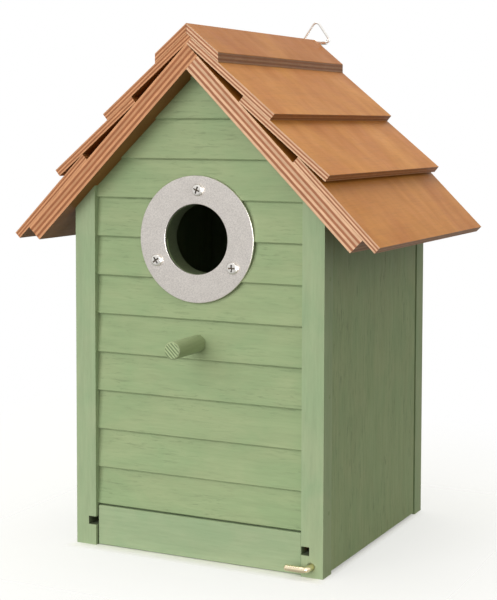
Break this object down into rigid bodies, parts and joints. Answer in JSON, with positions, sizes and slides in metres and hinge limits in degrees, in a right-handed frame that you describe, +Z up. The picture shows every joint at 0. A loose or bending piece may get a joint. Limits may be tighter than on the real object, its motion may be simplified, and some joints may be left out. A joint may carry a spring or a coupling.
{
  "type": "birdhouse",
  "caption": "Wooden nest box with a shingled gable roof, round steel-plated entrance, dowel perch, pull-out floor with latch hook, and hanging ring.",
  "frame": {"origin": "on the ground, at the middle of the object's reach in X and in Y", "axes": "+Z up, -Y out of the entrance (the front), +X to the right of someone facing the back"},
  "size_m": [0.1842, 0.1596, 0.2533],
  "materials": {
    "green_paint": "satin sage-green paint over wood",
    "varnished_ply": "satin warm-brown varnish on plywood",
    "bare_ply": "bare plywood",
    "plate_steel": "dull stainless",
    "nickel_screws": "nickel plated",
    "nickel_wire": "nickel plated",
    "nail_steel": "bright nail wire",
    "brass": "polished brass plate"
  },
  "bodies": {
    "housing": {"front_panel": "green_paint", "left_stile": "green_paint", "right_stile": "green_paint", "left_side_panel": "green_paint", "right_side_panel": "green_paint", "back_panel": "green_paint", "perch_dowel": "green_paint", "left_roof_board": "varnished_ply", "right_roof_board": "varnished_ply", "left_lower_shingle": "varnished_ply", "left_middle_shingle": "varnished_ply", "left_upper_shingle": "varnished_ply", "right_lower_shingle": "varnished_ply", "right_middle_shingle": "varnished_ply", "right_upper_shingle": "varnished_ply", "left_ridge_board": "varnished_ply", "right_ridge_board": "varnished_ply", "entrance_plate": "plate_steel", "entrance_plate_screws": "nickel_screws", "hanger_screw": "nickel_screws", "back_panel_nails": "nail_steel", "front_panel_brads": "nail_steel", "roof_board_nails": "nail_steel", "shingle_brads": "nail_steel", "hanger_strap": "nickel_wire"},
    "floor_tray": {"floor_panel": "bare_ply", "bottom_rail": "green_paint"},
    "latch": {"latch_hook": "brass"},
    "hanger": {"hanger_ring": "nickel_wire"}
  },
  "joints": [
    {"name": "floor_slide", "type": "slide", "parent": "housing", "child": "floor_tray", "axis": [0, -1, 0], "range_m": [0, 0.13]},
    {"name": "latch_turn", "type": "hinge", "parent": "housing", "child": "latch", "pos_m": [0.0578, -0.0583, 0.0048], "axis": [0, 1, 0], "range_deg": [0, 90]},
    {"name": "ring_swing", "type": "hinge", "parent": "housing", "child": "hanger", "pos_m": [0, 0.07795, 0.2425], "axis": [-1, 0, 0], "range_deg": [-70, 165]}
  ]
}
